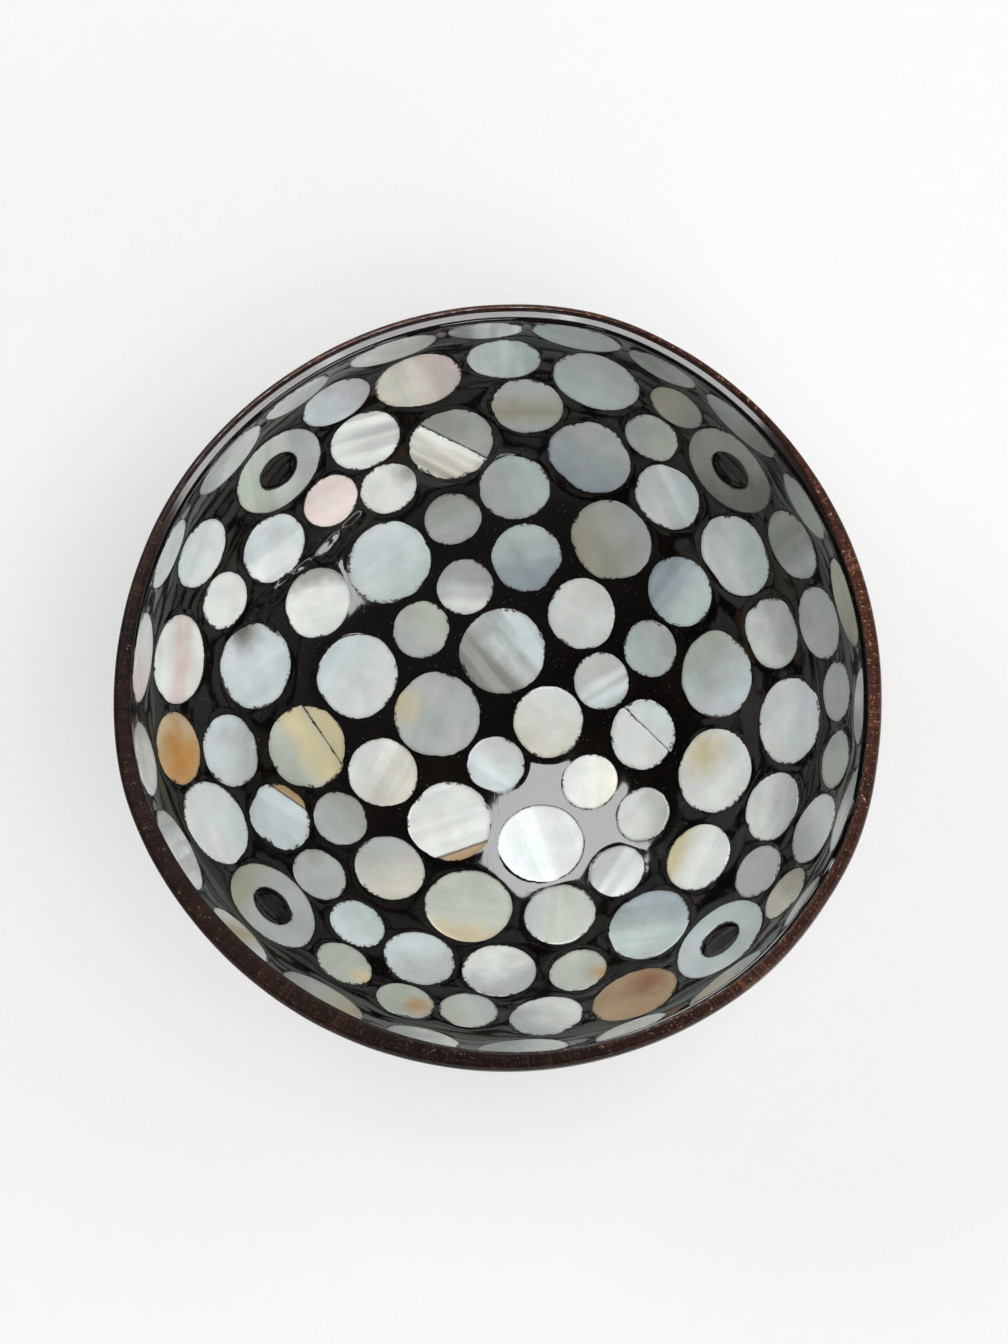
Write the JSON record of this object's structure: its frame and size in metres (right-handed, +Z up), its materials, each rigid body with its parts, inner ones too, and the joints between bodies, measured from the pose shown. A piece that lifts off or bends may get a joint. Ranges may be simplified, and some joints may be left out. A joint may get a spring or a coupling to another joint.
{
  "type": "coconut shell bowl",
  "caption": "Round open bowl made of half a coconut shell, lined with black lacquer and inlaid all over the inside with mother-of-pearl discs.",
  "frame": {"origin": "middle of the flat sanded base", "axes": "+Z up through the mouth; seen from above, +X is the picture's right and +Y its top"},
  "size_m": [0.1244, 0.1244, 0.058],
  "materials": {
    "shell": "sanded and varnished coconut shell, dark red-brown with pale flecks",
    "lacquer": "glossy near-black lacquer",
    "nacre": "polished mother-of-pearl, pale grey with satin bands",
    "nacre_amber": "polished mother-of-pearl, amber",
    "nacre_peach": "polished mother-of-pearl, peach-brown",
    "nacre_cream": "polished mother-of-pearl, cream"
  },
  "bodies": {
    "root": {"coconut_shell": "shell", "lacquer_bed": "lacquer", "ring_discs": "nacre", "floor_large_discs": "nacre", "floor_medium_disc": "nacre", "floor_small_discs": "nacre", "low_large_discs": "nacre", "low_medium_discs": "nacre", "low_small_discs": "nacre", "middle_large_discs": "nacre", "middle_medium_discs": "nacre", "middle_small_discs": "nacre", "high_large_discs": "nacre", "high_medium_discs": "nacre", "high_small_discs": "nacre", "shoulder_large_discs": "nacre", "shoulder_medium_discs": "nacre", "shoulder_small_discs": "nacre", "rim_large_discs": "nacre", "rim_medium_discs": "nacre", "rim_small_disc": "nacre", "amber_disc": "nacre_amber", "peach_disc": "nacre_peach", "split_disc_bright_half": "nacre", "split_disc_grey_half": "nacre", "cream_disc_body": "nacre_cream", "cream_disc_strip": "nacre_cream", "cracked_disc_left": "nacre", "cracked_disc_right": "nacre"}
  },
  "joints": []
}
